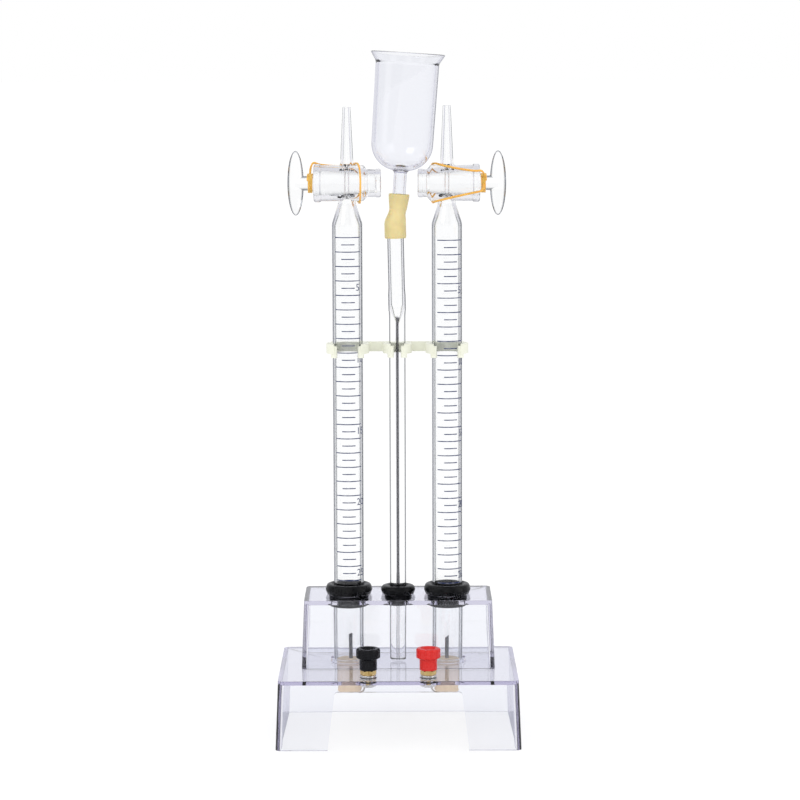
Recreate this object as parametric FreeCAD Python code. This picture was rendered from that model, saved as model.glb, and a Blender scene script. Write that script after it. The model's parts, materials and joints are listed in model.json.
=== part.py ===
import FreeCAD, Part
import math
import os

# Water electrolysis demonstration apparatus: a clear two-tier stand that is also the liquid
# tank, two graduated gas tubes with stopcocks, and a filling tube with a funnel between them.
# Millimetres. The origin is on the ground under the middle of the stand, +Z is up, +X is to the
# right and the front, where the two terminals are, faces -Y.

V = FreeCAD.Vector

# Places shared by several pieces
TUBE_Y = 7.35
TUBE_X = 25.25
SEAT = 0.03
TURN_FIT = 0.05

# Lower stand: a moulded box, open below, with an arch in its front wall
STAND_TOP = 35.0
STAND_W_TOP = 120.3
STAND_D_TOP = 84.1
STAND_DRAFT = 1.4
STAND_CORNER = 3.0
STAND_WALL = 2.3
STAND_PLATE = 2.3
ARCH_TOP = 29.4
ARCH_W_TOP = 63.5
ARCH_W_BOTTOM = 70.8
ARCH_CORNER = 1.6

# Tank cover: a clear box, open below, that stands on the plate
TANK_TOP = 70.2
TANK_W_TOP = 95.5
TANK_D_TOP = 41.2
TANK_W_BOTTOM = 98.3
TANK_D_BOTTOM = 42.8
TANK_CORNER = 2.5
TANK_WALL = 2.2
TANK_PLATE = 2.4

# Low rings moulded on the plate around the gas tubes' open ends
RING_R_IN = 8.2
RING_R_OUT = 9.4
RING_H = 2.0
RING_NOTCH = 4.0

# Rubber grommets: bulge above the tank top, neck in its hole, thin flange below
SIDE_GROMMET = {"bulge_r": 12.0, "bulge_h": 5.5, "neck_r": 9.2, "flange_r": 10.1, "flange_h": 3.6}
CENTRE_GROMMET = {"bulge_r": 8.9, "bulge_h": 4.6, "neck_r": 5.7, "flange_r": 6.9, "flange_h": 3.0}

# Graduated gas tubes
GAS_R = 7.7
GAS_BORE_R = 6.6
GAS_BOTTOM = 36.0
SHOULDER_LOW = 260.4
SHOULDER_HIGH = 270.6
NECK_R = 4.5
NECK_BORE_R = 2.6
SHOULDER_ROUND = 6.0

# Stopcock barrel and key, lengths measured outwards from the middle of the apparatus
COCK_Z = 280.7
BARREL_IN = {"left": 8.0, "right": 10.5}
BARREL_OUT = 42.0
BARREL_R = 9.1
BARREL_RIM_R = 9.65
BARREL_RIM_IN = 38.2
BARREL_SLIM_R = 7.0
BARREL_SLIM_OUT = 15.2
BARREL_FULL_IN = 17.0
BARREL_BEAD_R = 7.25
BARREL_BEAD_H = 2.2
PLUG_IN = 11.2
PLUG_R_IN = 4.9
PLUG_R_OUT = 6.6
PLUG_OUT = 41.8
PASSAGE_R = 1.3
KEY_NECK_R = 3.7
HANDLE_MID = 51.15
HANDLE_HALF_LONG = 16.25
HANDLE_HALF_WIDE = 4.15
HANDLE_HALF_DEEP = 3.25

# Nozzles above the stopcocks
NOZZLE_BASE_R = 3.4
NOZZLE_TIP_R = 2.0
NOZZLE_BORE_R = 0.9
NOZZLE_TOP = {"left": 319.0, "right": 319.7}

# Rubber bands that hold the keys in their barrels
BAND_R = 0.55
WRAP_IN = 42.3
WRAP_OUT = 45.4
WRAP_TURNS = 3
WRAP_R_IN = KEY_NECK_R + 0.3
WRAP_R_OUT = 5.4
BAND_LIFT = 0.15
BAND_STEP = 36.0

# Filling tube: thick-walled narrow-bore lower part, wider thin-walled upper part
FILL_R = 4.15
FILL_BORE_R = 0.65
FILL_BOTTOM = 36.0
FILL_JOINT = 216.0
FILL_JOINT_H = 11.0
FILL_JOINT_R = 4.45
FILL_UPPER_R = 4.2
FILL_UPPER_BORE_R = 3.1
FILL_TOP = 262.5
FILL_LEAN = -1.15

# Funnel, leaning to the right
FUNNEL_RIM = V(5.9, TUBE_Y, 346.0)
FUNNEL_LEAN = 3.84
FUNNEL_RIM_R = 19.0
FUNNEL_R_HIGH = 16.05
FUNNEL_R_LOW = 15.45
FUNNEL_FLARE_H = 4.8
FUNNEL_DEPTH = 58.4
FUNNEL_WALL = 1.5
FUNNEL_CORNER = 13.5
SPOUT_R = 3.3
SPOUT_BORE_R = 2.1
SPOUT_LENGTH = 23.0

# Latex connector between the funnel's spout and the filling tube
LATEX_BOTTOM = 252.6
LATEX_LOW_R = 5.5
LATEX_WAIST_R = 4.35
LATEX_HIGH_R = 5.3
LATEX_MIDDLE_BORE_R = 2.3

# Tube clamp
CLAMP_Z = 197.0
CLAMP_H = 4.9
CLIP_WALL = 3.2
CLIP_GAP_HALF_SIDE = 6.8
CLIP_GAP_HALF_CENTRE = 3.4
LIP_LOW = 192.6
LIP_H = 5.9
CLAMP_BAR_Y = (6.9, 9.7)

# Electrodes and their stoppers
ROD_R = 0.95
ROD_BOTTOM = 19.9
ROD_X = {"left": -24.3, "right": 25.05}
ROD_TOP = {"left": 49.7, "right": 48.4}
ROD_TIP_SLOPE = {"left": 0.35, "right": 0.75}
STOPPER_R = 6.2
STOPPER_TOP = 36.6
STOPPER_BOTTOM = 19.4
RECESS_R = 3.0
RECESS_H = 4.2
FERRULE_R = 1.7
FERRULE_H = 3.2

# Terminals
POST_X = 15.1
POST_Y = -31.35
STUD_R = 1.75
STUD_HOLE_R = 2.35
STUD_TOP = 6.4
RING_TOP_R = 4.0
RING_TOP_H = 1.2
COLLAR_FLATS = 7.0
COLLAR_TOP = 3.5
WASHER_R = 4.4
WASHER_H = 0.6
LUG_R = 3.9
LUG_H = 0.4
LUG_TAIL = 8.0
LUG_TAIL_W = 2.4
NUT_FLATS = 7.0
NUT_H = 1.4
WASHER_Z = STAND_TOP - STAND_PLATE - WASHER_H
LUG_Z = WASHER_Z - LUG_H
NUT_Z = LUG_Z - NUT_H
INSERT_R = 3.1
INSERT_TOP = 11.6
MOUTH_R = 2.5
MOUTH_TOP_R = 3.9
CAP_GAP = 0.1
CAP_BARREL_R = 4.4
CAP_STEP = 9.1
CAP_HEAD_R = 6.05
CAP_TOP = 14.6
CAP_FLUTES = 12
CAP_FLUTE_R = 0.75
SOCKET_R = 2.0
SOCKET_DEPTH = 5.0
WIRE_R = 0.45

SIDES = {"left": -1, "right": 1}
POST_NAMES = {"left": "black", "right": "red"}


def rounded_wire(points):
    """Closed wire through (point, fillet radius) pairs, with each corner rounded by an arc."""
    edges = []
    ends = []
    count = len(points)
    for i in range(count):
        corner, radius = points[i]
        before = points[i - 1][0] - corner
        after = points[(i + 1) % count][0] - corner
        before.normalize()
        after.normalize()
        if radius <= 0:
            ends.append((corner, None, corner))
            continue
        half = before.getAngle(after) / 2
        reach = radius / math.tan(half)
        middle = before + after
        middle.normalize()
        depth = radius / math.sin(half) - radius
        ends.append((corner + before * reach, corner + middle * depth, corner + after * reach))
    for i in range(count):
        start, bend, stop = ends[i]
        if bend is not None:
            edges.append(Part.Arc(start, bend, stop).toShape())
        following = ends[(i + 1) % count][0]
        if stop.distanceToPoint(following) > 1e-6:
            edges.append(Part.LineSegment(stop, following).toShape())
    return Part.Wire(edges)


def lathe(profile, x=0.0, y=0.0):
    """Solid of revolution about the vertical line at x, y, from (radius, height, fillet) rows."""
    points = [(V(row[0], 0, row[1]), row[2] if len(row) > 2 else 0) for row in profile]
    solid = Part.Face(rounded_wire(points)).revolve(V(0, 0, 0), V(0, 0, 1), 360)
    solid.translate(V(x, y, 0))
    return solid


def lathe_x(profile, side):
    """Solid of revolution about a stopcock's axis, from (radius, outward length, fillet) rows."""
    solid = lathe(profile)
    solid.rotate(V(0, 0, 0), V(0, 1, 0), 90 * side)
    solid.translate(V(0, TUBE_Y, COCK_Z))
    return solid


def upright(radius, low, high, x, y):
    """Vertical cylinder between two heights."""
    return Part.makeCylinder(radius, high - low, V(x, y, low))


def hexagon(flats, low, height, x, y):
    """Vertical hexagonal prism with chamfered corners."""
    corner_r = flats / math.sqrt(3)
    points = []
    for i in range(6):
        angle = math.radians(60 * i)
        points.append(V(corner_r * math.cos(angle), corner_r * math.sin(angle), 0))
    prism = Part.Face(Part.makePolygon(points + points[:1])).extrude(V(0, 0, height))
    chamfer = corner_r - flats / 2
    trim = lathe([(0, 0), (corner_r - chamfer, 0), (corner_r, chamfer * 0.6),
                  (corner_r, height - chamfer * 0.6), (corner_r - chamfer, height), (0, height)])
    prism = prism.common(trim)
    prism.translate(V(x, y, low))
    return prism


def rectangle_wire(width, depth, corner, z, y):
    """Rounded rectangle at height z, centred on x = 0 and the given y."""
    points = []
    for sx, sy in ((-1, -1), (1, -1), (1, 1), (-1, 1)):
        points.append((V(sx * width / 2, y + sy * depth / 2, z), corner))
    return rounded_wire(points)


def tapered_box(low_size, high_size, corner, low, high, y):
    """Box with rounded upright corners whose footprint changes from low_size to high_size."""
    wires = [rectangle_wire(low_size[0], low_size[1], corner, low, y),
             rectangle_wire(high_size[0], high_size[1], corner, high, y)]
    return Part.makeLoft(wires, True, True)


def tube_along(points, radius, name):
    """Round bar along straight runs that are joined by tangent arcs."""
    edges = []
    start = points[0]
    radii = []
    for i in range(1, len(points) - 1):
        corner = points[i]
        before = points[i - 1] - corner
        after = points[i + 1] - corner
        run = min(before.Length, after.Length)
        before.normalize()
        after.normalize()
        half_turn = (math.pi - before.getAngle(after)) / 2
        reach = 0.45 * run
        bend_r = reach / math.tan(half_turn)
        radii.append(bend_r)
        middle = before + after
        middle.normalize()
        depth = bend_r / math.cos(half_turn) - bend_r
        arc_start = corner + before * reach
        arc_stop = corner + after * reach
        edges.append(Part.LineSegment(start, arc_start).toShape())
        edges.append(Part.Arc(arc_start, corner + middle * depth, arc_stop).toShape())
        start = arc_stop
    edges.append(Part.LineSegment(start, points[-1]).toShape())
    path = Part.Wire(edges)
    circle = Part.Wire(Part.makeCircle(radius, points[0], points[1] - points[0]))
    solid = path.makePipeShell([circle], True, False)
    share = solid.Volume / (math.pi * radius * radius * path.Length)
    print(name, "least bend radius", round(min(radii), 2), "volume share", round(share, 3))
    return solid


def lower_stand():
    drafted = 2 * STAND_DRAFT
    outer = tapered_box((STAND_W_TOP + drafted, STAND_D_TOP + drafted), (STAND_W_TOP, STAND_D_TOP),
                        STAND_CORNER, 0, STAND_TOP, 0)
    wall = 2 * STAND_WALL
    ceiling = STAND_TOP - STAND_PLATE
    share = ceiling / STAND_TOP
    inner_low = (STAND_W_TOP + drafted - wall, STAND_D_TOP + drafted - wall)
    inner_high = (STAND_W_TOP + drafted * (1 - share) - wall,
                  STAND_D_TOP + drafted * (1 - share) - wall)
    body = outer.cut(tapered_box(inner_low, inner_high, 1.2, 0, ceiling, 0))
    front = -STAND_D_TOP / 2 - 10
    arch = rounded_wire([(V(-ARCH_W_BOTTOM / 2, front, 0), 0), (V(ARCH_W_BOTTOM / 2, front, 0), 0),
                         (V(ARCH_W_TOP / 2, front, ARCH_TOP), ARCH_CORNER),
                         (V(-ARCH_W_TOP / 2, front, ARCH_TOP), ARCH_CORNER)])
    body = body.cut(Part.Face(arch).extrude(V(0, 20, 0)))
    for side in SIDES.values():
        ring = upright(RING_R_OUT, STAND_TOP, STAND_TOP + RING_H, side * TUBE_X, TUBE_Y)
        ring = ring.cut(upright(RING_R_IN, STAND_TOP, STAND_TOP + RING_H, side * TUBE_X, TUBE_Y))
        notch = Part.makeBox(4 * RING_R_OUT, RING_NOTCH, RING_H)
        notch.translate(V(side * TUBE_X - 2 * RING_R_OUT, TUBE_Y - RING_NOTCH / 2, STAND_TOP))
        body = body.fuse(ring.cut(notch))
    body = body.removeSplitter()
    for side in SIDES.values():
        body = body.cut(upright(STOPPER_R + SEAT, ceiling - 1, STAND_TOP + 1, side * TUBE_X, TUBE_Y))
        body = body.cut(upright(STUD_HOLE_R, ceiling - 1, STAND_TOP + 1, side * POST_X, POST_Y))
    return body


def tank_cover():
    outer = tapered_box((TANK_W_BOTTOM, TANK_D_BOTTOM), (TANK_W_TOP, TANK_D_TOP),
                        TANK_CORNER, STAND_TOP, TANK_TOP, TUBE_Y)
    wall = 2 * TANK_WALL
    inner = tapered_box((TANK_W_BOTTOM - wall, TANK_D_BOTTOM - wall),
                        (TANK_W_TOP - wall, TANK_D_TOP - wall),
                        1.0, STAND_TOP, TANK_TOP - TANK_PLATE, TUBE_Y)
    body = outer.cut(inner)
    for x, grommet in ((-TUBE_X, SIDE_GROMMET), (0, CENTRE_GROMMET), (TUBE_X, SIDE_GROMMET)):
        body = body.cut(upright(grommet["neck_r"] + SEAT, TANK_TOP - 5, TANK_TOP + 1, x, TUBE_Y))
    return body


def grommet(size, bore_r, x):
    top = TANK_TOP + size["bulge_h"]
    under = TANK_TOP - TANK_PLATE
    bore = bore_r + SEAT
    profile = [(bore, under - size["flange_h"], 0.4),
               (size["flange_r"], under - size["flange_h"], 0.9),
               (size["flange_r"], under, 0.3), (size["neck_r"], under, 0),
               (size["neck_r"], TANK_TOP, 0), (size["bulge_r"], TANK_TOP, 1.6),
               (size["bulge_r"], top, 2.3), (bore, top, 0.8)]
    return lathe(profile, x, TUBE_Y)


def gas_tube(name):
    side = SIDES[name]
    x = side * TUBE_X
    top = NOZZLE_TOP[name]
    mouth = BARREL_IN[name]
    tube = lathe([(0, GAS_BOTTOM), (GAS_R, GAS_BOTTOM, 0.5), (GAS_R, SHOULDER_LOW, SHOULDER_ROUND),
                  (NECK_R, SHOULDER_HIGH, 4.0), (NECK_R, COCK_Z), (0, COCK_Z)], x, TUBE_Y)
    nozzle = lathe([(0, COCK_Z), (NOZZLE_BASE_R, COCK_Z), (NOZZLE_BASE_R, COCK_Z + BARREL_R, 8.0),
                    (NOZZLE_TIP_R, top, 0.3), (0, top)], x, TUBE_Y)
    barrel = lathe_x([(0, mouth), (BARREL_BEAD_R, mouth, 1.0),
                      (BARREL_BEAD_R, mouth + BARREL_BEAD_H, 0.5),
                      (BARREL_SLIM_R, mouth + BARREL_BEAD_H + 0.6),
                      (BARREL_SLIM_R, BARREL_SLIM_OUT, 1.0), (BARREL_R, BARREL_FULL_IN, 1.5),
                      (BARREL_R, BARREL_RIM_IN, 0.8), (BARREL_RIM_R, BARREL_RIM_IN + 0.8, 0.6),
                      (BARREL_RIM_R, BARREL_OUT, 1.2), (0, BARREL_OUT)], side)
    body = tube.fuse(nozzle).fuse(barrel).removeSplitter()
    hollow = lathe([(0, GAS_BOTTOM - 1), (GAS_BORE_R, GAS_BOTTOM - 1),
                    (GAS_BORE_R, SHOULDER_LOW - 0.4, SHOULDER_ROUND),
                    (NECK_BORE_R, SHOULDER_HIGH - 0.4, 2.0), (NECK_BORE_R, COCK_Z - 7.2, 1.0),
                    (PASSAGE_R, COCK_Z - 6.4), (PASSAGE_R, COCK_Z), (0, COCK_Z)], x, TUBE_Y)
    vent = lathe([(0, COCK_Z), (PASSAGE_R, COCK_Z), (PASSAGE_R, COCK_Z + 7.0),
                  (NOZZLE_BASE_R - 1.5, COCK_Z + 9.5), (NOZZLE_BORE_R, top + 1), (0, top + 1)],
                 x, TUBE_Y)
    slope = (PLUG_R_OUT - PLUG_R_IN) / (PLUG_OUT - PLUG_IN)
    seat_in = PLUG_R_IN + TURN_FIT - slope * (PLUG_IN - mouth + 1)
    seat_out = PLUG_R_OUT + TURN_FIT + slope * (BARREL_OUT - PLUG_OUT + 1)
    seat = lathe_x([(0, mouth - 1), (seat_in, mouth - 1), (seat_out, BARREL_OUT + 1),
                    (0, BARREL_OUT + 1)], side)
    return body.cut(hollow).cut(vent).cut(seat)


def stopcock_key(name):
    side = SIDES[name]
    plug = lathe_x([(0, PLUG_IN), (PLUG_R_IN, PLUG_IN, 0.4), (PLUG_R_OUT, PLUG_OUT, 0.4),
                    (KEY_NECK_R, PLUG_OUT + 0.1, 0), (KEY_NECK_R, HANDLE_MID), (0, HANDLE_MID)],
                   side)
    stretch = FreeCAD.Matrix()
    stretch.scale(HANDLE_HALF_WIDE, HANDLE_HALF_DEEP, HANDLE_HALF_LONG)
    ball = Part.makeSphere(1.0)
    ball.rotate(V(0, 0, 0), V(0, 0, 1), 90 - 90 * side)
    handle = ball.transformGeometry(stretch)
    handle.translate(V(side * HANDLE_MID, TUBE_Y, COCK_Z))
    passage = upright(PASSAGE_R, COCK_Z - 9, COCK_Z + 9, side * TUBE_X, TUBE_Y)
    return plug.fuse(handle).removeSplitter().cut(passage)


def around_barrel(side, outward, reach, angle):
    """Point beside a barrel: reach from its axis, angle from the top towards the front."""
    turn = math.radians(angle)
    return V(side * outward, TUBE_Y - reach * math.sin(turn), COCK_Z + reach * math.cos(turn))


def key_band(name):
    """Rubber band wound round the key's neck and hooked round the barrel inside the nozzle."""
    side = SIDES[name]
    on_barrel = BARREL_R + BAND_R + BAND_LIFT
    on_rim = BARREL_RIM_R + BAND_R + 0.4
    bend = on_barrel / math.cos(math.radians(BAND_STEP / 2))
    in_wrap = (WRAP_R_IN + WRAP_R_OUT) / 2
    if name == "left":
        route = [(43.9, in_wrap, -20), (43.5, 8.6, -24), (42.1, 11.4, -26), (38.4, on_rim, -28),
                 (31.5, on_barrel, -30), (23.6, bend, -32), (20.4, bend, -2), (18.9, bend, 34),
                 (18.3, bend, 72), (18.3, bend, 108), (18.5, bend, 144), (18.9, bend, 180),
                 (20.4, bend, 214), (24.0, bend, 244), (31.5, on_barrel, 250), (38.4, on_rim, 251),
                 (42.1, 11.4, 249), (43.5, 8.6, 245), (43.9, in_wrap, 240)]
    else:
        route = [(43.9, in_wrap, 46), (43.6, 8.4, 52), (42.2, 11.4, 55), (38.4, on_rim, 52),
                 (31.0, on_barrel, 41), (23.6, bend, 29), (19.4, bend, 8), (17.7, bend, -28),
                 (17.2, bend, -64), (17.2, bend, -100), (17.5, bend, -136), (18.2, bend, -172),
                 (20.0, bend, 153), (28.6, bend, 133), (38.4, on_rim, 116), (42.2, 11.4, 109),
                 (43.6, 8.4, 103), (43.9, in_wrap, 98)]
    points = [around_barrel(side, outward, reach, angle) for outward, reach, angle in route]
    band = tube_along(points, BAND_R, name + " band")
    turn_w = (WRAP_OUT - WRAP_IN) / WRAP_TURNS
    for i in range(WRAP_TURNS):
        low = WRAP_IN + i * turn_w
        band = band.fuse(lathe_x([(WRAP_R_IN, low), (WRAP_R_OUT, low, 0.35),
                                  (WRAP_R_OUT, low + turn_w, 0.35), (WRAP_R_IN, low + turn_w)],
                                 side))
    return band


def lean_about(shape, foot, degrees):
    """Lean a shape to the right by turning it about a point of its own axis."""
    shape.rotate(foot, V(0, 1, 0), degrees)
    return shape


def centre_tube(grow=0.0, hollow=True):
    joint_top = FILL_JOINT + FILL_JOINT_H
    foot = V(0, TUBE_Y, FILL_JOINT)
    lower = lathe([(0, FILL_BOTTOM), (FILL_R, FILL_BOTTOM, 0.6), (FILL_R, FILL_JOINT - 3, 20),
                   (FILL_JOINT_R, FILL_JOINT + 3, 3), (0, FILL_JOINT + 3)], 0, TUBE_Y)
    upper = lathe([(0, FILL_JOINT), (FILL_JOINT_R, FILL_JOINT), (FILL_JOINT_R, joint_top - 3, 20),
                   (FILL_UPPER_R + grow, joint_top, 20), (FILL_UPPER_R + grow, FILL_TOP + grow, 0.4),
                   (0, FILL_TOP + grow)], 0, TUBE_Y)
    body = lower.fuse(lean_about(upper, foot, FILL_LEAN)).removeSplitter()
    if not hollow:
        return body
    bore = upright(FILL_BORE_R, FILL_BOTTOM - 1, FILL_JOINT, 0, TUBE_Y)
    wide = lathe([(0, FILL_JOINT - 6), (FILL_BORE_R, FILL_JOINT - 6),
                  (FILL_UPPER_BORE_R, FILL_JOINT + 3, 3), (FILL_UPPER_BORE_R, FILL_TOP + 1),
                  (0, FILL_TOP + 1)], 0, TUBE_Y)
    return body.cut(bore).cut(lean_about(wide, foot, FILL_LEAN))


def place_on_funnel(shape):
    """Move a shape made with the rim's centre at the origin to the leaning funnel's place."""
    shape.rotate(V(0, 0, 0), V(0, 1, 0), FUNNEL_LEAN)
    shape.translate(FUNNEL_RIM)
    return shape


def funnel():
    tip = -FUNNEL_DEPTH - SPOUT_LENGTH
    outer = lathe([(0, 0), (FUNNEL_RIM_R, 0, 0.4), (FUNNEL_R_HIGH, -FUNNEL_FLARE_H, 2.0),
                   (FUNNEL_R_LOW, -FUNNEL_DEPTH, FUNNEL_CORNER), (SPOUT_R, -FUNNEL_DEPTH - 0.8, 1.5),
                   (SPOUT_R, tip, 0.5), (0, tip)])
    wall = FUNNEL_WALL
    inner = lathe([(0, 1), (FUNNEL_RIM_R - wall + 0.6, 1), (FUNNEL_RIM_R - wall, 0),
                   (FUNNEL_R_HIGH - wall, -FUNNEL_FLARE_H - 0.6, 2.5),
                   (FUNNEL_R_LOW - wall, -FUNNEL_DEPTH + wall, FUNNEL_CORNER - wall),
                   (SPOUT_BORE_R, -FUNNEL_DEPTH + 0.8, 1.5), (SPOUT_BORE_R, tip - 1), (0, tip - 1)])
    return place_on_funnel(outer.cut(inner))


def funnel_connector():
    spout_tip = FUNNEL_DEPTH + SPOUT_LENGTH
    rows = [(0.0, LATEX_LOW_R - 0.35), (0.7, LATEX_LOW_R), (8.6, LATEX_LOW_R),
            (11.0, LATEX_WAIST_R + 0.3), (13.2, LATEX_WAIST_R), (16.0, LATEX_WAIST_R + 0.15),
            (19.0, LATEX_HIGH_R - 0.25), (22.6, LATEX_HIGH_R)]
    slope_low = math.tan(math.radians(FILL_LEAN))
    slope_high = math.tan(math.radians(FUNNEL_LEAN))
    wires = []
    for rise, radius in rows:
        z = LATEX_BOTTOM + rise
        x_low = slope_low * (z - FILL_JOINT)
        x_high = FUNNEL_RIM.x + slope_high * (z - FUNNEL_RIM.z)
        share = min(1.0, max(0.0, (rise - 7.0) / 9.0))
        lean = math.radians(FILL_LEAN + share * (FUNNEL_LEAN - FILL_LEAN))
        centre = V(x_low + share * (x_high - x_low), TUBE_Y, z)
        direction = V(math.sin(lean), 0, math.cos(lean))
        wires.append(Part.Wire(Part.makeCircle(radius, centre, direction)))
    body = Part.makeLoft(wires, True, False)
    spout = Part.makeCylinder(SPOUT_R + SEAT, SPOUT_LENGTH, V(0, 0, -spout_tip))
    channel = Part.makeCylinder(LATEX_MIDDLE_BORE_R, 6.0, V(0, 0, -spout_tip - 5.0))
    body = body.cut(place_on_funnel(spout)).cut(place_on_funnel(channel))
    return body.cut(centre_tube(SEAT, False))


def tube_clip(x, tube_r, gap_half):
    """C-shaped spring clip, open to the front, with rounded lips."""
    low = CLAMP_Z - CLAMP_H / 2
    outer_r = tube_r + CLIP_WALL
    clip = upright(outer_r, low, low + CLAMP_H, x, TUBE_Y)
    clip = clip.cut(Part.makeBox(2 * gap_half, outer_r + 1, CLAMP_H,
                                 V(x - gap_half, TUBE_Y - outer_r - 1, low)))
    middle_r = tube_r + CLIP_WALL / 2
    back = math.sqrt(middle_r ** 2 - gap_half ** 2)
    for side in (-1, 1):
        clip = clip.fuse(upright(CLIP_WALL / 2, LIP_LOW, LIP_LOW + LIP_H, x + side * gap_half,
                                 TUBE_Y - back))
    return clip


def tube_clamp():
    low = CLAMP_Z - CLAMP_H / 2
    bar_low, bar_high = CLAMP_BAR_Y
    half = TUBE_X + GAS_R + CLIP_WALL - 2.1
    body = Part.makeBox(2 * half, bar_high - bar_low, CLAMP_H, V(-half, TUBE_Y + bar_low, low))
    web_w = 6.0
    web = Part.makeBox(web_w, bar_low - FILL_R + 0.5, CLAMP_H,
                       V(-web_w / 2, TUBE_Y + FILL_R - 0.25, low))
    body = body.fuse(web)
    holes = []
    for x, radius, gap in ((-TUBE_X, GAS_R, CLIP_GAP_HALF_SIDE), (0, FILL_R, CLIP_GAP_HALF_CENTRE),
                           (TUBE_X, GAS_R, CLIP_GAP_HALF_SIDE)):
        body = body.fuse(tube_clip(x, radius, gap))
        holes.append(upright(radius + SEAT, LIP_LOW - 1, low + CLAMP_H + 1, x, TUBE_Y))
    body = body.removeSplitter()
    for hole in holes:
        body = body.cut(hole)
    return body


def electrode(name):
    x = ROD_X[name]
    top = ROD_TOP[name]
    rod = upright(ROD_R, ROD_BOTTOM, top, x, TUBE_Y)
    drop = ROD_TIP_SLOPE[name] * 2 * ROD_R
    wedge = Part.makePolygon([V(x - ROD_R, TUBE_Y - 2, top - drop), V(x + ROD_R, TUBE_Y - 2, top),
                              V(x - ROD_R, TUBE_Y - 2, top), V(x - ROD_R, TUBE_Y - 2, top - drop)])
    return rod.cut(Part.Face(wedge).extrude(V(0, 4, 0)))


def electrode_stopper(name):
    x = ROD_X[name]
    body = lathe([(0, STOPPER_BOTTOM), (STOPPER_R, STOPPER_BOTTOM, 0.5),
                  (STOPPER_R, STOPPER_TOP, 0.6), (0, STOPPER_TOP)], SIDES[name] * TUBE_X, TUBE_Y)
    body = body.cut(upright(ROD_R + SEAT, STOPPER_BOTTOM, STOPPER_TOP + 1, x, TUBE_Y))
    return body.cut(upright(RECESS_R, STOPPER_BOTTOM - 1, STOPPER_BOTTOM + RECESS_H, x, TUBE_Y))


def electrode_ferrule(name):
    top = STOPPER_BOTTOM + RECESS_H - 0.4
    return lathe([(ROD_R + SEAT, top - FERRULE_H), (FERRULE_R, top - FERRULE_H, 0.3),
                  (FERRULE_R, top, 0.3), (ROD_R + SEAT, top)], ROD_X[name], TUBE_Y)


def post_stud(side):
    x = side * POST_X
    bottom = NUT_Z - 0.3
    stud = lathe([(0, bottom), (STUD_R, bottom, 0.3), (STUD_R, STAND_TOP + STUD_TOP, 0.4),
                  (0, STAND_TOP + STUD_TOP)], x, POST_Y)
    collar = hexagon(COLLAR_FLATS, STAND_TOP + RING_TOP_H, COLLAR_TOP - RING_TOP_H, x, POST_Y)
    return stud.fuse(collar).removeSplitter()


def post_ring(side):
    """Thick washer between the plate and the stud's collar."""
    low = STAND_TOP
    return lathe([(STUD_HOLE_R, low), (RING_TOP_R, low, 0.4), (RING_TOP_R, low + RING_TOP_H, 0.4),
                  (STUD_HOLE_R, low + RING_TOP_H)], side * POST_X, POST_Y)


def post_washer(side):
    low = WASHER_Z
    return lathe([(STUD_HOLE_R, low), (WASHER_R, low, 0.15), (WASHER_R, low + WASHER_H, 0.15),
                  (STUD_HOLE_R, low + WASHER_H)], side * POST_X, POST_Y)


def post_lug(side):
    low = LUG_Z
    x = side * POST_X
    ring = upright(LUG_R, low, low + LUG_H, x, POST_Y)
    tail = Part.makeBox(LUG_TAIL_W, LUG_TAIL, LUG_H)
    tail.translate(V(x - LUG_TAIL_W / 2, POST_Y, low))
    return ring.fuse(tail).removeSplitter().cut(upright(STUD_HOLE_R, low, low + LUG_H, x, POST_Y))


def post_nut(side):
    x = side * POST_X
    nut = hexagon(NUT_FLATS, NUT_Z, NUT_H, x, POST_Y)
    return nut.cut(upright(STUD_R + SEAT, 0, STAND_TOP, x, POST_Y))


def post_insert(side):
    """Brass sleeve in the cap: a threaded hole below for the stud, a plug socket above."""
    low = STAND_TOP + COLLAR_TOP + CAP_GAP
    top = STAND_TOP + INSERT_TOP
    floor = top - SOCKET_DEPTH
    x = side * POST_X
    stud_room = STAND_TOP + STUD_TOP + 0.2
    sleeve = upright(INSERT_R, low, top, x, POST_Y)
    sleeve = sleeve.cut(upright(STUD_R + TURN_FIT, low, stud_room, x, POST_Y))
    return sleeve.cut(upright(SOCKET_R, floor, top, x, POST_Y))


def post_cap(side):
    low = STAND_TOP + COLLAR_TOP + CAP_GAP
    top = STAND_TOP + CAP_TOP
    step = STAND_TOP + CAP_STEP
    ledge = STAND_TOP + INSERT_TOP + TURN_FIT
    x = side * POST_X
    bore = INSERT_R + TURN_FIT
    cap = lathe([(bore, low), (CAP_BARREL_R, low, 0.3), (CAP_BARREL_R, step, 0.3),
                 (CAP_HEAD_R, step + 0.9, 0.3), (CAP_HEAD_R, top, 0.9), (MOUTH_TOP_R, top, 0.4),
                 (MOUTH_R, top - 1.6, 0.3), (MOUTH_R, ledge), (bore, ledge)], x, POST_Y)
    for i in range(CAP_FLUTES):
        angle = 2 * math.pi * (i + 0.5) / CAP_FLUTES
        reach = CAP_HEAD_R + 0.35
        cap = cap.cut(upright(CAP_FLUTE_R, step + 0.2, top + 1, x + reach * math.cos(angle),
                              POST_Y + reach * math.sin(angle)))
    return cap


def electrode_wire(name):
    """Bare wire under the plate, from a terminal's lug into the recess under its stopper."""
    side = SIDES[name]
    lug_z = LUG_Z - WIRE_R
    end_x = side * ROD_X[name] - FERRULE_R - WIRE_R + 0.15
    under = STOPPER_BOTTOM - 1.0
    route = [(POST_X, POST_Y + 5.0, lug_z), (15.2, -20.5, lug_z - 0.1), (16.0, -10.0, 30.0),
             (17.2, 0.0, 28.6), (17.6, 6.2, 24.5), (17.7, TUBE_Y, under),
             (end_x, TUBE_Y, under), (end_x, TUBE_Y, under + 4.2)]
    points = [V(side * x, y, z) for x, y, z in route]
    return tube_along(points, WIRE_R, name + " wire")


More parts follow.
